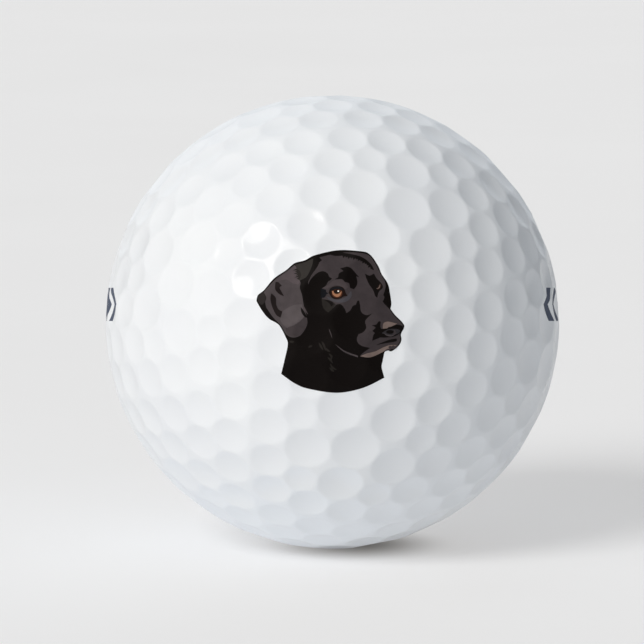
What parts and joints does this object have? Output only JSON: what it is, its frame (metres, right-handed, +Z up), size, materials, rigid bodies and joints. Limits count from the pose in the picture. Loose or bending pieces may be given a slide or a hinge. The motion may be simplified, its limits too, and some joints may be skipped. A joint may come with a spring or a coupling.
{
  "type": "golf ball",
  "caption": "White dimpled two-piece golf ball with a printed black dog's head on the front and a row of plain navy chevrons and a diamond on each side.",
  "frame": {"origin": "centre of the ball", "axes": "+Z up as the ball lies, -Y towards the printed head, +X to the right as the print is looked at"},
  "size_m": [0.0427, 0.0427, 0.0426],
  "materials": {
    "core_rubber": "matte",
    "cover_white": "gloss",
    "ink_black": "satin",
    "ink_charcoal": "satin",
    "ink_grey": "satin",
    "ink_slate": "satin",
    "ink_tan": "satin",
    "ink_amber": "gloss",
    "ink_white": "gloss",
    "ink_navy": "satin"
  },
  "bodies": {
    "root": {"core": "core_rubber", "cover_upper": "cover_white", "cover_lower": "cover_white", "print_head": "ink_black", "print_ear": "ink_grey", "print_ear_streak_upper": "ink_black", "print_ear_streak_lower": "ink_black", "print_face": "ink_charcoal", "print_brow_near": "ink_black", "print_socket_far": "ink_black", "print_eye_rim": "ink_black", "print_iris_near": "ink_amber", "print_pupil": "ink_black", "print_glint": "ink_white", "print_iris_far": "ink_amber", "print_nose": "ink_black", "print_nose_top": "ink_tan", "print_nose_wing": "ink_slate", "print_nostril": "ink_black", "print_lip": "ink_black", "print_chin": "ink_tan", "print_jaw_line": "ink_grey", "left_diamond": "ink_navy", "left_front_inner_chevron": "ink_navy", "left_front_outer_chevron": "ink_navy", "left_back_inner_chevron": "ink_navy", "left_back_outer_chevron": "ink_navy", "right_diamond": "ink_navy", "right_front_inner_chevron": "ink_navy", "right_front_outer_chevron": "ink_navy", "right_back_inner_chevron": "ink_navy", "right_back_outer_chevron": "ink_navy"}
  },
  "joints": []
}
